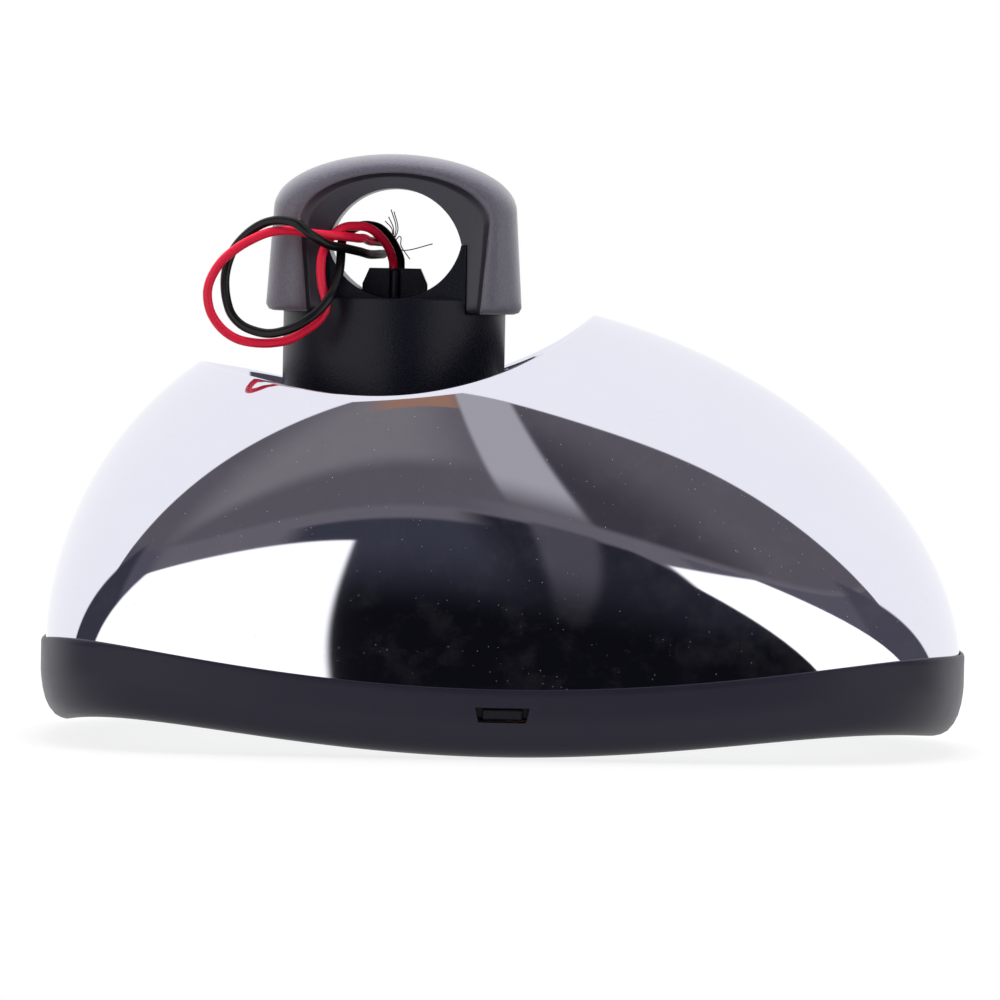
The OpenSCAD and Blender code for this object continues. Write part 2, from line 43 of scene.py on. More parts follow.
# Camera at the photograph's viewing angle: a long lens, level with the arm tube, with a slight roll
LENS, SENSOR = 259.2, 36
CAMERA_PLACE = (0.0227, -1.5, 0.00035)
CAMERA_DIP, CAMERA_ROLL = 2.139, 1.1
camera = bpy.data.objects.new("camera", bpy.data.cameras.new("camera"))
camera.data.lens = LENS
camera.data.sensor_width = SENSOR
tilt = Matrix.Rotation(radians(90 - CAMERA_DIP), 4, "X")
roll = Matrix.Rotation(radians(CAMERA_ROLL), 4, "Z")
camera.matrix_world = Matrix.Translation(CAMERA_PLACE) @ tilt @ roll
bpy.context.collection.objects.link(camera)
bpy.context.scene.camera = camera


# The two leads, from the end of the hollow stem through the key's grommet to their cut ends, in millimetres
LEAD_D = 1.9
RED_ROUTE = [
    (-0.4, -1.2, -91.1), (-0.4, -1.2, -7.6), (-0.55, -1.6, -6.1), (-1.5, -3.8, -3.5), (-3.3, -7, -1.1),
    (-5.6, -10.5, 0.5), (-8.3, -13.8, 0.8), (-10.9, -16.7, 0.3), (-13.2, -19.1, -1.8), (-14.6, -20.7, -4.6),
    (-15, -21.7, -7.6), (-14.7, -22.3, -11.2), (-13.9, -22.8, -14.2), (-13.9, -23.4, -16.6),
    (-15.3, -23.9, -18.8), (-17.6, -24.4, -20.6), (-20.8, -24.9, -22.6), (-24.2, -25.2, -23.4),
    (-27.8, -25.4, -23.5), (-31.6, -25.7, -22.8), (-34.7, -25.8, -20.9), (-37, -25.9, -17.9),
    (-37.9, -26, -14.8), (-37.8, -26.1, -12), (-36.7, -26.1, -9.2), (-34.7, -26.2, -6.4), (-31.8, -26.1, -4),
    (-28.8, -26, -2.2), (-25.8, -25.8, -0.9), (-22.8, -25.3, -0.4), (-19.6, -24.8, -0.5), (-16.8, -24, -0.9),
    (-14.2, -22.6, -1.1), (-11.4, -20.5, -1.3), (-9.2, -17.6, -1.5), (-7.4, -14.3, -1.7), (-6.4, -10.6, -1.7),
    (-5.4, -6.8, -2.2), (-4.2, -3.1, -2.3), (-2.7, 0.7, -2.4)]
BLACK_ROUTE = [
    (1, 1.1, -91.1), (1, 1.1, -7.4), (0.8, 0.7, -5.4), (-0.9, -1.3, -2), (-3.1, -4.1, 0.3), (-5.3, -6.4, 1),
    (-7.4, -8.7, 0.8), (-9.3, -11, -0.2), (-10.7, -13.2, -1.8), (-11, -15.5, -3.8), (-11, -17.9, -6),
    (-11.2, -20.6, -8.7), (-11.9, -23, -11.5), (-13, -25, -13.8), (-14.6, -26.2, -16.1), (-17, -27, -18.2),
    (-19.6, -27.2, -19.9), (-22.4, -27, -21), (-25.2, -26.5, -21.5), (-28, -25.9, -21.1),
    (-30.9, -25, -19.9), (-33, -24.2, -17.8), (-34, -23.5, -15.3), (-34.5, -23, -12.5), (-34.5, -22.6, -9.7),
    (-33.9, -22.6, -6.9), (-33, -22.7, -4.7), (-31.3, -23.1, -2.4), (-29, -23.7, -0.3), (-26.5, -24.6, 1.1),
    (-23.9, -25.9, 1.7), (-21.8, -26.9, 1.6), (-20.1, -27.6, 1.1), (-17.8, -27.6, -0.5),
    (-15.9, -26.6, -1.8), (-13.6, -24.2, -3.1), (-10.6, -20, -3.7), (-7.4, -13.9, -4.4), (-5.2, -6.6, -5),
    (-2.6, 1.2, -4.9)]
# Bare copper strands of the cut black lead, which flare out from its end behind the bundle
STRAND_D = 0.22
STRAND_ROUTES = [
    [(-0.8, 4, -2.2), (-0.1, 4.8, 0.6), (-1.2, 5, 4.4)],
    [(-0.6, 4.2, -2), (0.3, 5, 0.4), (-0.6, 5.2, 4)],
    [(-1, 3.8, -2.4), (-0.6, 4.6, 0.3), (-1.7, 4.7, 2.9)],
    [(-1.1, 3.6, -2.2), (-0.9, 4.4, 0.2), (-2.4, 4.6, 2)],
    [(-0.5, 4, -2.6), (0.8, 4.9, -1.2), (1, 5.4, -3.1), (2.9, 5.6, -5.9)],
    [(-0.5, 3.8, -3.4), (1.8, 4.9, -4.1), (7.6, 6, -2.6)]]


def wire(name, routes, diameter):
    """Round wires that run smoothly through the points of their routes."""
    curve = bpy.data.curves.new(name, "CURVE")
    curve.dimensions = "3D"
    curve.resolution_u = 8
    curve.bevel_depth = 1
    curve.bevel_resolution = 4
    curve.use_fill_caps = True
    for route in routes:
        spline = curve.splines.new("BEZIER")
        spline.bezier_points.add(len(route) - 1)
        places = [Vector(place) * MM for place in route]
        for number, point in enumerate(spline.bezier_points):
            place = places[number]
            last, following = places[max(number - 1, 0)], places[min(number + 1, len(places) - 1)]
            heading = (following - last).normalized()
            point.co = place
            point.radius = diameter / 2 * MM
            point.handle_left = place - heading * (place - last).length / 3
            point.handle_right = place + heading * (following - place).length / 3
    made = bpy.data.objects.new(name, curve)
    bpy.context.collection.objects.link(made)
    return made


red_lead = wire("red_heater_lead", [RED_ROUTE], LEAD_D)
black_lead = wire("black_heater_lead", [BLACK_ROUTE], LEAD_D)
strands = wire("bare_strands", [[BLACK_ROUTE[-1], *route] for route in STRAND_ROUTES], STRAND_D)
for lead, node_name, slot in ((red_lead, "red_lead", "red_vinyl"), (black_lead, "black_lead", "black_vinyl")):
    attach(lead, "mount")
    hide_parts(node_name)
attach(strands, "mount")


# Shape of the head, in millimetres: an egg-shaped plan around the crown, a rim that follows the convex glass,
# a dome down to the bezel and a round scoop for the neck
HEAD_X, CROWN_X = 24, 10
REACH_RIGHT, REACH_MID, REACH_SIDE = 110, 96, 58
TOP_SQUARE, FOOT_SQUARE = -0.6, 0.75
CROWN_Z, RIM_Z = -12.6, -104.6
GLASS_R, CORNER_LIFT = 480, 1e-7
FULLNESS, FULLNESS_CHANGE = 1.98, 0.1
OPENING_R, SCOOP_FLOOR, SCOOP_RISE = 27, -48.6, 38
SCOOP_R, SCOOP_NARROWER, LIP_ROUND, LIP_ROUNDER = 41.3, 0.8, 0.9, 1.6
COVER_INSET, COVER_WALL, COVER_FOOT, DOME_FOOT = 0.85, 2.2, 10.8, 9

# Angles around the crown. Towards the front and the rear the lip is rounder and the scoop a little narrower
ROUND = 320
phi = np.arange(ROUND) * 2 * np.pi / ROUND
facing = np.sin(phi) ** 4
lip_rounding = LIP_ROUND + LIP_ROUNDER * facing
scoop_r = SCOOP_R - SCOOP_NARROWER * facing


def bow(x, y):
    """How far the convex face has fallen back at a point of the plan."""
    return ((x - HEAD_X) ** 2 + y ** 2) / (2 * GLASS_R) + CORNER_LIFT * (x - HEAD_X) ** 2 * y ** 2


def plan(phi, rho, inset):
    """Points of the head's plan at angles phi around the crown, at a share rho of the reach."""
    square = TOP_SQUARE + (FOOT_SQUARE - TOP_SQUARE) * rho ** 2
    u = (np.cos(phi) / (REACH_MID + (REACH_RIGHT - REACH_MID) * np.cos(phi) - inset)) ** 2
    v = (np.sin(phi) / (REACH_SIDE - inset)) ** 2
    reach = rho * np.sqrt(2 / (u + v + np.sqrt((u + v) ** 2 - 4 * square * u * v)))
    return CROWN_X + reach * np.cos(phi), reach * np.sin(phi)


def rim(phi):
    """Height of the rim's lowest edge."""
    x, y = plan(phi, 1, 0)
    return RIM_Z + bow(x, y) - bow(HEAD_X, REACH_SIDE)


def fullness(phi):
    """Power of the dome's curve: 2 is an ellipse, more is fuller, as at the long sides and the short end."""
    return FULLNESS + FULLNESS_CHANGE * (np.sin(phi) ** 2 - np.cos(phi))


def dome(phi, fall):
    """Points of the dome, from the crown at a fall of 0 to its upright foot at a right angle."""
    x, y = plan(phi, np.sin(fall) ** (2 / fullness(phi)), COVER_INSET)
    foot = rim(phi) + DOME_FOOT
    return np.stack([x, y, foot + (CROWN_Z - foot) * np.cos(fall) ** (2 / fullness(phi))], -1)


def scoop(lip, turn):
    """Points of the scoop on the way to the lip, from the opening at a turn of 0."""
    r = OPENING_R + (scoop_r - OPENING_R) * np.sin(turn)
    share = r / np.hypot(lip[:, 0], lip[:, 1])
    height = SCOOP_FLOOR + SCOOP_RISE * (1 - np.cos(turn))
    return np.stack([lip[:, 0] * share, lip[:, 1] * share, height], -1)


def shell(rows, closed):
    """A skin drawn out ring by ring through rows of points; a closed one comes back to its first row."""
    bm = bmesh.new()
    station = bm.verts.layers.int.new("station")
    ring = bmesh.ops.create_circle(bm, segments=len(rows[0]), radius=1)["verts"]
    for number, vert in enumerate(ring):
        vert[station] = number
        vert.co = rows[0][number]
    edges = bm.edges[:]
    for row in [*rows[1:], rows[0]] if closed else rows[1:]:
        drawn = bmesh.ops.extrude_edge_only(bm, edges=edges)["geom"]
        for vert in drawn:
            if isinstance(vert, bmesh.types.BMVert):
                vert.co = row[vert[station]]
        edges = [edge for edge in drawn if isinstance(edge, bmesh.types.BMEdge)]
    if closed:
        bmesh.ops.remove_doubles(bm, verts=bm.verts, dist=1e-4)
    bmesh.ops.recalc_face_normals(bm, faces=bm.faces)
    return bm


def piece(name, bm, body, node_name, crease=30):
    """Turns a shape in millimetres into a piece that stands for its CAD node and rides on its body."""
    bmesh.ops.scale(bm, vec=(MM, MM, MM), verts=bm.verts)
    for face in bm.faces:
        face.smooth = True
    mesh = bpy.data.meshes.new(name)
    bm.to_mesh(mesh)
    bm.free()
    mesh.set_sharp_from_angle(angle=radians(crease))
    made = bpy.data.objects.new(name, mesh)
    bpy.context.collection.objects.link(made)
    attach(made, body)
    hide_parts(node_name)
    return made


# Chromed back cover. The lip is where the dome, followed down from the crown, comes out of the scoop
SCOOP_ROWS, LIP_ROWS, DOME_ROWS, HALVINGS = 18, 9, 56, 40
low, high = np.full(ROUND, 0.1), np.full(ROUND, 1.5)
for halving in range(HALVINGS):
    middle = (low + high) / 2
    x, y, z = dome(phi, middle).T
    t = np.clip((z - SCOOP_FLOOR) / SCOOP_RISE, 0, 1)
    inside = np.hypot(x, y) < OPENING_R + (scoop_r - OPENING_R) * np.sqrt(1 - (1 - t) ** 2)
    low, high = np.where(inside, middle, low), np.where(inside, high, middle)
lip = dome(phi, low)
lip_turn = np.arccos(np.clip(1 - (lip[:, 2] - SCOOP_FLOOR) / SCOOP_RISE, -1, 1))
# Where its rounding starts and ends: a small step on each side tells how fast the two curves run there
step = 1e-3
scoop_pace = np.linalg.norm(scoop(lip, lip_turn) - scoop(lip, lip_turn - step), axis=1) / step
dome_pace = np.linalg.norm(dome(phi, low + step) - lip, axis=1) / step
before = lip_turn - lip_rounding / scoop_pace
after = low + lip_rounding / dome_pace
# Rows up the scoop, over the lip and down the dome
rows = [scoop(lip, before * share) for share in np.linspace(0, 1, SCOOP_ROWS)]
start, end = rows[-1], dome(phi, after)
for share in np.linspace(0, 1, LIP_ROWS)[1:-1]:
    rows.append(start * (1 - share) ** 2 + 2 * lip * share * (1 - share) + end * share ** 2)
foot_share = (COVER_FOOT - DOME_FOOT) / (CROWN_Z - rim(phi) - DOME_FOOT)
last = np.arccos(foot_share ** (fullness(phi) / 2))
rows += [dome(phi, after + (last - after) * share) for share in np.linspace(0, 1, DOME_ROWS)]
bm = shell(rows, closed=False)
top = max(bm.faces, key=lambda face: face.calc_center_median().z)
if top.normal.z < 0:
    bmesh.ops.reverse_faces(bm, faces=bm.faces)
cover = piece("chrome_back_cover", bm, "head", "back_cover")
wall = cover.modifiers.new("wall", "SOLIDIFY")
wall.thickness = COVER_WALL * MM
wall.offset = -1
wall.use_even_offset = True


# Bezel: a band that hangs lower at its ends, with soft edges, a lip in front of the glass and a snap window
# in each side. Its section is given as insets from the plan's edge and heights above the rim
WINDOW_TOP, WINDOW_FOOT, WINDOW_Z, WINDOW_H = 11, 9.7, 7.8, 3
WINDOW_NEAR, WINDOW_DEPTH = 20, 4.2
BAND_WALL, GLASS_FACE = 3.4, 4.5
LIP_HANG, END_HANG = 1, 3
window_low, window_high = WINDOW_Z - WINDOW_H / 2, WINDOW_Z + WINDOW_H / 2
section = [
    (0.55, 13), (0.2, 12.85), (0, 12.4), (0, 11.5), (0, window_high), (0, WINDOW_Z), (0, window_low),
    (0.12, 5.4), (0.45, 4), (1.05, 2.6), (1.9, 1.5), (3.1, 0.6), (4.3, 0.15), (5.4, 0), (6.6, 0.1),
    (7.2, 0.35), (7.6, 0.9), (7.6, GLASS_FACE), (BAND_WALL, GLASS_FACE), (BAND_WALL, window_low),
    (BAND_WALL, WINDOW_Z), (BAND_WALL, window_high), (BAND_WALL, 10), (0.8, 10), (0.8, 12.9)]
edge_x, edge_y = plan(phi, 1, 0)


def window_sides(centre, across):
    """The two stations of the band that lie nearest to a window's ends."""
    along = (edge_y if across else edge_x) - centre[across]
    near = np.flatnonzero(np.hypot(edge_x - centre[0], edge_y - centre[1]) < WINDOW_NEAR)
    return [min(near, key=lambda i: abs(along[i] - side * WINDOW_TOP / 2)) for side in (-1, 1)]


windows = [(centre, across, window_sides(centre, across)) for centre, across in (
    ((HEAD_X, -REACH_SIDE), 0), ((HEAD_X, REACH_SIDE), 0),
    ((HEAD_X + REACH_MID, 0), 1), ((HEAD_X - REACH_MID, 0), 1))]
halves = {window_high: WINDOW_TOP / 2, WINDOW_Z: (WINDOW_TOP + WINDOW_FOOT) / 4, window_low: WINDOW_FOOT / 2}
hang = LIP_HANG + END_HANG * ((edge_x - HEAD_X) / REACH_MID) ** 4
rows = []
for inset, height in section:
    x, y = plan(phi, 1, inset)
    lower = max(0, 1 - height / (GLASS_FACE if inset > BAND_WALL else window_low))
    row = np.stack([x, y, rim(phi) + height - hang * lower], -1)
    for centre, across, sides in windows:
        for index, side in zip(sides, (-1, 1)):
            if height in halves:
                row[index, across] = centre[across] + side * halves[height]
    rows.append(row)
bm = shell(rows, closed=True)
station = bm.verts.layers.int["station"]
for centre, across, sides in windows:
    opened = []
    for face in bm.faces:
        middle = face.calc_center_median()
        height = middle.z - rim(phi[face.verts[0][station]])
        away = abs(middle[1 - across] - centre[1 - across])
        aside = abs(middle[across] - centre[across])
        upright = abs(face.normal[1 - across]) > 0.5
        level = window_low < height < window_high
        if level and away < WINDOW_DEPTH and aside < WINDOW_TOP / 2 and upright:
            opened.append(face)
    edges = {edge for face in opened for edge in face.edges}
    border = [edge for edge in edges if sum(face in opened for face in edge.link_faces) == 1]
    bmesh.ops.delete(bm, geom=opened, context="FACES")
    bmesh.ops.bridge_loops(bm, edges=border)
bmesh.ops.recalc_face_normals(bm, faces=bm.faces)
bezel = piece("black_bezel", bm, "head", "bezel")


# Clamp cap: an arch with a broad rounded border around a sunken face, front and rear
CAP_SINK = 5.3
LEG, ARCH = 8, 64
ARM_FOOT, FOOT_ROUND = -11.55, 1.6
BORE_R, BORE_FOOT_Z, BORE_START, ARM_INSIDE_X = 14, 2.68, 0.1926, 14.83
HALF_LENGTH, BORDER_ROUND, ROUND_START, FACE_Y = 20, 0.84, 12, 17.5
FINISH_MARGIN = 0.05


def arch(foot_x, spring_x, spring_z, top_z):
    """Half-round arch on two legs, from the left arm's foot to the right arm's."""
    leg = np.linspace(0, 1, LEG, endpoint=False) ** 2
    right = np.stack([foot_x + (spring_x - foot_x) * leg, ARM_FOOT + (spring_z - ARM_FOOT) * leg], -1)
    turn = np.linspace(np.pi, 0, ARCH)
    crown = np.stack([spring_x * np.cos(turn), spring_z + (top_z - spring_z) * np.sin(turn)], -1)
    return np.concatenate([right * (-1, 1), crown, right[::-1]])


outside = arch(foot_x=26.5, spring_x=25.1, spring_z=9.6, top_z=21.1)
border = arch(foot_x=17.8, spring_x=19.4, spring_z=7, top_z=17.2)
bore = arch(foot_x=ARM_INSIDE_X, spring_x=BORE_R, spring_z=BORE_FOOT_Z, top_z=BORE_R)
turn = np.linspace(np.pi - BORE_START, BORE_START, ARCH)
bore[LEG:LEG + ARCH] = BORE_R * np.stack([np.cos(turn), np.sin(turn)], -1)
bore[:LEG, 0], bore[-LEG:, 0] = -ARM_INSIDE_X, ARM_INSIDE_X
bore[LEG - 1, 1] = bore[-LEG, 1] = BORE_FOOT_Z
# Rows from the middle of the outside over the border and the face into the bore, and back on the other side:
# between which two arches each row lies, its share of the way and its distance from the middle
profile = [(outside, border, 0, 0), (outside, border, 0, 6), (outside, border, 0, ROUND_START)]
for angle in np.radians(range(10, 91, 10)):
    profile.append((outside, border, BORDER_ROUND * (1 - np.cos(angle)),
                    ROUND_START + (HALF_LENGTH - ROUND_START) * np.sin(angle)))
profile += [(outside, border, share, depth) for share, depth in ((0.93, 19.9), (0.985, 19.6), (1, 19.1))]
profile += [(border, bore, share, depth) for share, depth in (
    (0.08, 18.7), (0.2, 17.75), (0.3, FACE_Y), (0.9, FACE_Y), (0.97, 17.4), (1, 17), (1, 0))]
profile += [(a, b, share, -depth) for a, b, share, depth in profile[-2:0:-1]]
rows = []
for a, b, share, depth in profile:
    x, z = (a + (b - a) * share).T
    low = np.clip(1 - (z - ARM_FOOT) / FOOT_ROUND, 0, 1)
    soft = FOOT_ROUND * (1 - np.sqrt(1 - low ** 2))
    if a is outside:
        x = x - np.sign(x) * soft * (1 - share)
    rows.append(np.stack([x, -depth * (1 - soft / HALF_LENGTH), z - CAP_SINK], -1))
bm = shell(rows, closed=True)
# The arch ends at its feet, and the face inside the border has the smoother finish, with a darker tone that
# is painted shade
station = bm.verts.layers.int["station"]
ends = {0, len(outside) - 1}
between_feet = [face for face in bm.faces if {vert[station] for vert in face.verts} == ends]
bmesh.ops.delete(bm, geom=between_feet, context="FACES")
reach = np.hypot(*border.T) + FINISH_MARGIN
for face in bm.faces:
    face.material_index = all(
        np.hypot(vert.co.x, vert.co.z + CAP_SINK) < reach[vert[station]] for vert in face.verts)
bmesh.ops.holes_fill(bm, edges=bm.edges, sides=0)
bmesh.ops.recalc_face_normals(bm, faces=bm.faces)
cap = piece("clamp_cap_moulding", bm, "cap", "clamp_cap", crease=40)


# Materials
PATCH_MM, PATCH_SPREAD = 9, 0.15


def linear(code):
    """A colour as its sRGB hex code says it, in linear light."""
    levels = [int(code[i:i + 2], 16) / 255 for i in (1, 3, 5)]
    return [x / 12.92 if x <= 0.04045 else ((x + 0.055) / 1.055) ** 2.4 for x in levels] + [1]


def add(tree, kind, links=None, **settings):
    """Adds a node with its settings, and sets or links its inputs."""
    made = tree.nodes.new("ShaderNode" + kind)
    for name, value in settings.items():
        setattr(made, name, value)
    for socket, value in (links or {}).items():
        if isinstance(value, bpy.types.NodeSocket):
            tree.links.new(value, made.inputs[socket])
        else:
            made.inputs[socket].default_value = value
    return made


def material(name, colour, roughness, metallic=0, grain=0.4, depth=0.02, mottle=0.12, speckle=0, edge=0,
             **sockets):
    """A surface whose tone and roughness change slowly across it. The grain's width and depth and the edges'
    rounding are in millimetres, and the tone follows the grain by the share of speckle."""
    made = bpy.data.materials.new(name)
    made.use_nodes = True
    tree = made.node_tree
    shader = tree.nodes["Principled BSDF"]
    place = add(tree, "TexCoord").outputs["Object"]
    slow = add(tree, "TexNoise", {"Vector": place, "Scale": 1 / (PATCH_MM * MM), "Detail": 4}).outputs["Fac"]
    fine = add(tree, "TexNoise", {"Vector": place, "Scale": 1 / (grain * MM), "Detail": 2}).outputs["Fac"]
    patch = add(tree, "Mix", {"Factor": speckle, "A": slow, "B": fine}).outputs["Result"]
    dark = linear(colour)
    light = [x * (1 + 2 * mottle) for x in dark[:3]] + [1]
    tone = add(tree, "Mix", {"Factor": patch, "A": dark, "B": light}, data_type="RGBA")
    tree.links.new(tone.outputs["Result"], shader.inputs["Base Color"])
    rough = add(tree, "MapRange", {"Value": slow, "To Min": roughness * (1 - PATCH_SPREAD),
                                   "To Max": roughness * (1 + PATCH_SPREAD)})
    tree.links.new(rough.outputs["Result"], shader.inputs["Roughness"])
    bump = add(tree, "Bump", {"Height": fine, "Distance": depth * MM})
    if edge:
        tree.links.new(add(tree, "Bevel", {"Radius": edge * MM}).outputs["Normal"], bump.inputs["Normal"])
    tree.links.new(bump.outputs["Normal"], shader.inputs["Normal"])
    shader.inputs["Metallic"].default_value = metallic
    for socket, value in sockets.items():
        shader.inputs[socket.replace("_", " ")].default_value = value
    return made


def add_dust(made, speck_mm=1.2, smear_mm=8):
    """Pale specks of dust and the smears that a hand leaves, which show where a mirror shows the dark."""
    tree = made.node_tree
    place = add(tree, "TexCoord").outputs["Object"]
    cells = add(tree, "TexVoronoi", {"Vector": place, "Scale": 1 / (speck_mm * MM)}).outputs
    speck = add(tree, "MapRange", {"Value": cells["Distance"], "From Min": 0.05, "From Max": 0.1,
                                   "To Min": 1, "To Max": 0}).outputs["Result"]
    some = add(tree, "MapRange", {"Value": cells["Color"], "From Min": 0.4, "From Max": 0.9,
                                  "To Min": 0, "To Max": 0.8}).outputs["Result"]
    dust = add(tree, "Math", {0: speck, 1: some}, operation="MULTIPLY").outputs[0]
    touch = add(tree, "TexNoise", {"Vector": place, "Scale": 1 / (smear_mm * MM), "Detail": 6,
                                   "Roughness": 0.7}).outputs["Fac"]
    smear = add(tree, "MapRange", {"Value": touch, "From Min": 0.5, "From Max": 0.8,
                                   "To Min": 0, "To Max": 0.03}).outputs["Result"]
    film = add(tree, "Math", {0: dust, 1: smear}, operation="ADD").outputs[0]
    bare = add(tree, "Math", {0: 1, 1: film}, operation="SUBTRACT").outputs[0]
    tree.links.new(bare, tree.nodes["Principled BSDF"].inputs["Metallic"])


# Chrome plate on polished ABS: a mirror with a faint cool tint, dusty and touched
chrome = material("bright_chrome_plate", "#E9E9F2", 0.03, metallic=1, grain=0.5, depth=0, mottle=0.01)
add_dust(chrome)
# Satin ABS straight from an etched mould: dark, with a soft sheen towards its rounded ends
satin = material("satin_black_abs", "#201D30", 0.42, grain=0.25, depth=0.012, Specular_IOR_Level=0.35)
# Glass-filled nylon with a coarse spark grain on the cap's border: greyed where it faces the light
cap_nylon = material("grained_black_nylon", "#4A4753", 0.5, grain=0.5, depth=0.08, mottle=1, speckle=0.8,
                     Specular_IOR_Level=0.9, Sheen_Weight=0.8)
# The same nylon from a smoother part of the mould inside the border; its darker tone is painted shade of the
# sunken face
shaded_face_nylon = material("smooth_nylon_painted_shade", "#37353F", 0.36, grain=0.8, depth=0.03, mottle=0.25)
# Plain nylon of the neck and the parts inside: blue-black, a little cloudy, with soft edges
neck_nylon = material("plain_black_nylon", "#090918", 0.36, grain=0.5, depth=0.05, mottle=0.5, speckle=0.5,
                      edge=0.5, Specular_IOR_Level=0.25)
# Moulded rubber of the gasket and the grommet: dull black
rubber = material("black_rubber", "#0E0E10", 0.7, grain=0.3, depth=0.01)
# Glass silvered on its back: a clear mirror under a glossy face
mirror = material("silvered_glass", "#DADFE2", 0.015, metallic=1, depth=0, mottle=0.01, Coat_Weight=0.5)
# Polyimide film of the heater: amber, half dull
heater_film = material("orange_heater_film", "#A8671F", 0.5)
# Zinc-plated steel and turned brass: bright metal, slightly blurred by the plating and the tool
zinc = material("zinc_plated_steel", "#A9ACB0", 0.3, metallic=1, depth=0.005)
brass = material("plain_brass", "#B8924A", 0.3, metallic=1, depth=0.005)
# Uncoloured acetal: waxy cream
acetal = material("natural_acetal", "#DAD3C0", 0.4)
# Moulded plastic of the washer: plain grey
grey_plastic = material("grey_moulded_plastic", "#55565A", 0.5)
# Extruded PVC insulation: smooth, with a narrow shine along each lead
red_vinyl = material("red_pvc_insulation", "#FF2248", 0.35, depth=0.004, mottle=0.15, Specular_IOR_Level=0.3)
black_vinyl = material("black_pvc_insulation", "#111114", 0.3, depth=0.004, Specular_IOR_Level=0.3)
# Copper strands that have gone dark
dull_copper = material("tarnished_copper", "#2A2522", 0.4, metallic=0.6)

for made, finish in (
        (red_lead, red_vinyl), (black_lead, black_vinyl), (strands, dull_copper),
        (cover, chrome), (bezel, satin), (cap, cap_nylon), (cap, shaded_face_nylon)):
    made.data.materials.append(finish)
for finish, names in (
        (neck_nylon, ("mounting_neck", "backing_plate", "inner_frame")),
        (rubber, ("cover_gasket", "lead_grommet")),
        (mirror, ("mirror_glass",)),
        (heater_film, ("heater_pad",)),
        (brass, ("clamp_inserts", "heater_terminals")),
        (zinc, ("frame_screws", "clamp_screws", "screw_washers")),
        (zinc, ("pivot_spring", "spring_plate", "pivot_nut")),
        (acetal, ("pivot_liner",)),
        (grey_plastic, ("pressure_washer",)),
        (red_vinyl, ("red_tail",)),
        (black_vinyl, ("black_tail",))):
    for name in names:
        for slot in nodes[name].material_slots:
            slot.material = finish


# White floor just under the bezel, bright enough of itself to stay white, with room left for the shadow
FLOOR_HALF, FLOOR_GAP, FLOOR_GLOW = 0.42, 0.0002, 0.8
bm = bmesh.new()
bmesh.ops.create_grid(bm, x_segments=1, y_segments=1, size=FLOOR_HALF)
bmesh.ops.translate(bm, vec=(0, 0, (RIM_Z - LIP_HANG) * MM - FLOOR_GAP), verts=bm.verts)
floor_mesh = bpy.data.meshes.new("floor")
bm.to_mesh(floor_mesh)
bm.free()
floor = bpy.data.objects.new("floor", floor_mesh)
bpy.context.collection.objects.link(floor)
floor_paint = bpy.data.materials.new("white_floor")
floor_paint.use_nodes = True
tree = floor_paint.node_tree
shader = tree.nodes["Principled BSDF"]
shader.inputs["Base Color"].default_value = linear("#707070")
shader.inputs["Roughness"].default_value = 0.9
shader.inputs["Emission Color"].default_value = linear("#FFFFFF")
rays = add(tree, "LightPath").outputs
seen = add(tree, "Math", {0: rays["Is Camera Ray"], 1: rays["Is Glossy Ray"]}, operation="MAXIMUM").outputs[0]
glow = add(tree, "Math", {0: seen, 1: FLOOR_GLOW}, operation="MULTIPLY").outputs[0]
tree.links.new(glow, shader.inputs["Emission Strength"])
floor_mesh.materials.append(floor_paint)


# Studio: a white tent whose front edge hangs over the object, and before it a grey room with two softboxes
world = bpy.data.worlds.new("studio")
bpy.context.scene.world = world
world.use_nodes = True
tree = world.node_tree
direction = add(tree, "TexCoord").outputs["Generated"]


def beyond(normal, soft=0.006):
    """1 on one side of a plane through the object, as a panel's straight edge shows, and 0 on the other."""
    side = add(tree, "VectorMath", {0: direction, 1: normal}, operation="DOT_PRODUCT").outputs["Value"]
    return add(tree, "MapRange", {"Value": side, "From Min": -soft, "From Max": soft},
               interpolation_type="SMOOTHSTEP").outputs["Result"]


def below(height, soft=0.006):
    """1 under a level all round, given as the sine of its angle above the horizon."""
    rise = add(tree, "SeparateXYZ", {0: direction}).outputs["Z"]
    return add(tree, "MapRange", {"Value": rise, "From Min": height + soft, "From Max": height - soft},
               interpolation_type="SMOOTHSTEP").outputs["Result"]


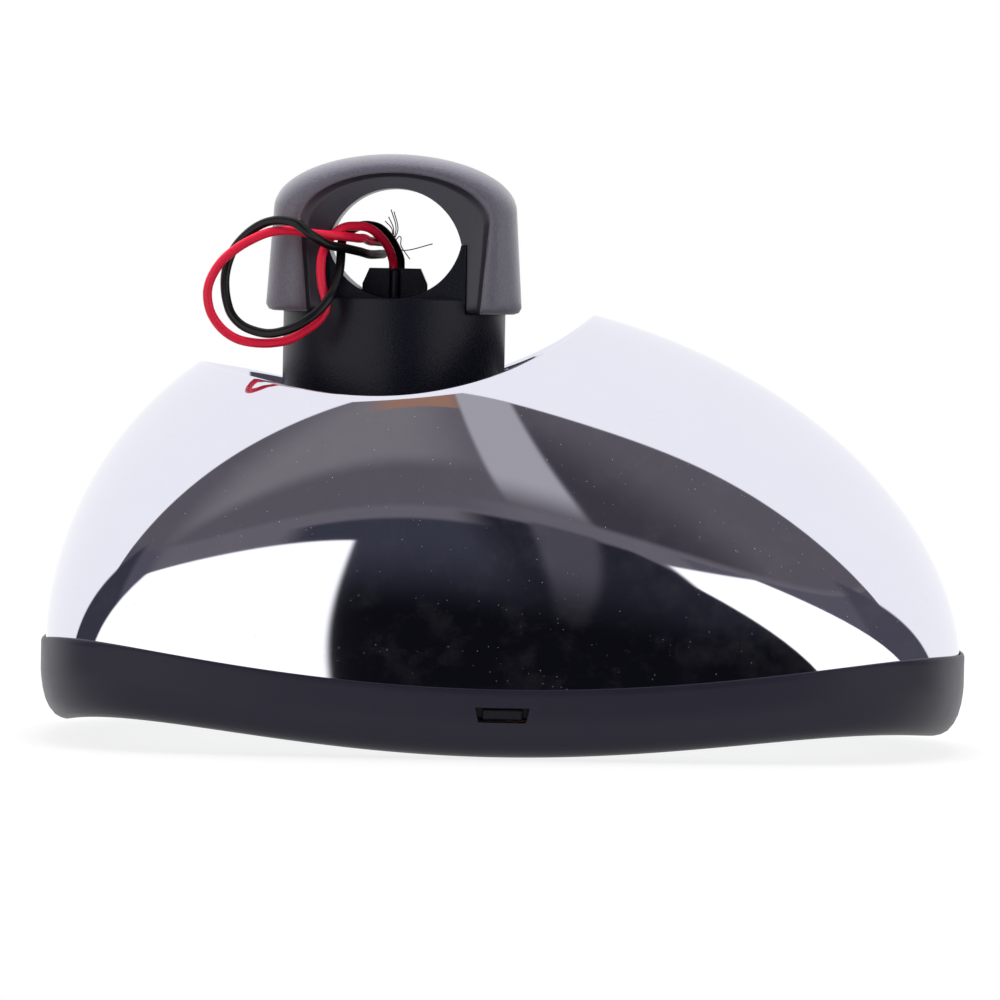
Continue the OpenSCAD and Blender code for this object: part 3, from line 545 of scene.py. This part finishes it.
SOFTBOX = 1.28
DARK_END = (-1, -0.8, -0.634)
room = beyond((0.07, -1, -0.258))
picture = linear("#FCFCFF")
for colour, strength, masks in (
        # the grey room, its lit left wall and the wooden edge that the tent hangs from
        ("#5E5A61", 1, [room]),
        ("#7B777B", 1, [room, beyond((-1, -0.11, 0.02), 0.12), beyond((0, 1.2, 1), 0.08),
                        beyond((1, -1, 0), 0.2)]),
        ("#9D7765", 1, [room, beyond((-0.08, 1, 0.385)), beyond((1, 0, 0.12), 0.06),
                        beyond((-1, -0.132, 0.06), 0.03)]),
        # a strip of lit ceiling, and the wall beside it that gets no light
        ("#AAA8AC", 1, [room, beyond((1, 0.132, -0.06)), beyond((-1, -0.135, 0.183)),
                        beyond((0, 1, 1), 0.12)]),
        ("#3F3C43", 1, [room, beyond((1, 0.135, -0.183)), beyond((-1, -0.6, 0), 0.14)]),
        # a pale skirting and the dark below it, which deepens downwards
        ("#6A666D", 1, [room, below(0.606, 0.012), beyond((1, -1.2, 0), 0.2)]),
        ("#6A666D", 1, [room, below(0.65, 0.012), beyond((1, 0.14, 0), 0.06)]),
        ("#5B5862", 1, [room, below(0.63, 0.004), beyond((1, 0.4, 0), 0.01)]),
        ("#3A3B47", 1, [room, below(0.56, 0.008), beyond((1, -0.25, 0), 0.04), beyond(DARK_END, 0.01)]),
        ("#26262F", 1, [room, below(0.598, 0.008), beyond((1, 0.1, 0), 0.03), beyond(DARK_END, 0.01)]),
        ("#4E4C54", 1, [room, below(0.606, 0.008), beyond((1, 0.063, -0.166)), beyond((-1, -0.058, 0.271))]),
        ("#0E0E14", 1, [room, below(0.36, 0.14), beyond(DARK_END, 0.02)]),
        ("#55535F", 1, [room, below(0.6, 0.02), beyond((-1, 1.2, 0), 0.1)]),
        # its far ends, behind the object's own
        ("#3A3944", 1, [beyond((-0.348, -1, -0.97), 0.02), beyond((-1, 2, 0), 0.1)]),
        ("#4C4A55", 1, [beyond((0.58, -0.953, -1), 0.02), beyond((1, 2, 0), 0.1)]),
        # the two softboxes
        ("#FFFFFF", SOFTBOX, [beyond((-0.315, -0.522, -1)), beyond((-1, 0.104, 0)),
                              beyond((0.144, -1, -0.907), 0.02)]),
        ("#FFFFFF", SOFTBOX, [beyond((1, 0.763, 0.634)), beyond((1, 0.383, 0.049)),
                              beyond((0.035, -0.915, -1)), beyond((0.701, -0.517, -1))])):
    factor = masks[0]
    for mask in masks[1:]:
        factor = add(tree, "Math", {0: factor, 1: mask}, operation="MULTIPLY").outputs[0]
    shown = [x * strength for x in linear(colour)[:3]] + [1]
    mixed = add(tree, "Mix", {"Factor": factor, "A": picture, "B": shown}, data_type="RGBA")
    picture = mixed.outputs["Result"]
rays = add(tree, "LightPath").outputs
seen = add(tree, "Math", {0: rays["Is Camera Ray"], 1: rays["Is Transmission Ray"]}, operation="MAXIMUM")
sky = add(tree, "Mix", {"Factor": seen.outputs[0], "A": picture, "B": linear("#FFFFFF")}, data_type="RGBA")
tree.links.new(sky.outputs["Result"], tree.nodes["Background"].inputs["Color"])
bpy.context.scene.view_settings.view_transform = "Standard"

# Soft lamp overhead, a little behind the object, kept out of the reflections
LAMP_SIZE, LAMP_POWER, LAMP_HEIGHT = 0.8, 15, 1.4
LAMP_TURN, LAMP_LEAN = -8, -12
lamp = bpy.data.objects.new("top_lamp", bpy.data.lights.new("top_lamp", "AREA"))
lamp.data.size = LAMP_SIZE
lamp.data.energy = LAMP_POWER
turned = Matrix.Rotation(radians(LAMP_TURN), 4, "Z") @ Matrix.Rotation(radians(LAMP_LEAN), 4, "X")
lamp.matrix_world = turned @ Matrix.Translation((0, 0, LAMP_HEIGHT))
lamp.visible_glossy = False
bpy.context.collection.objects.link(lamp)
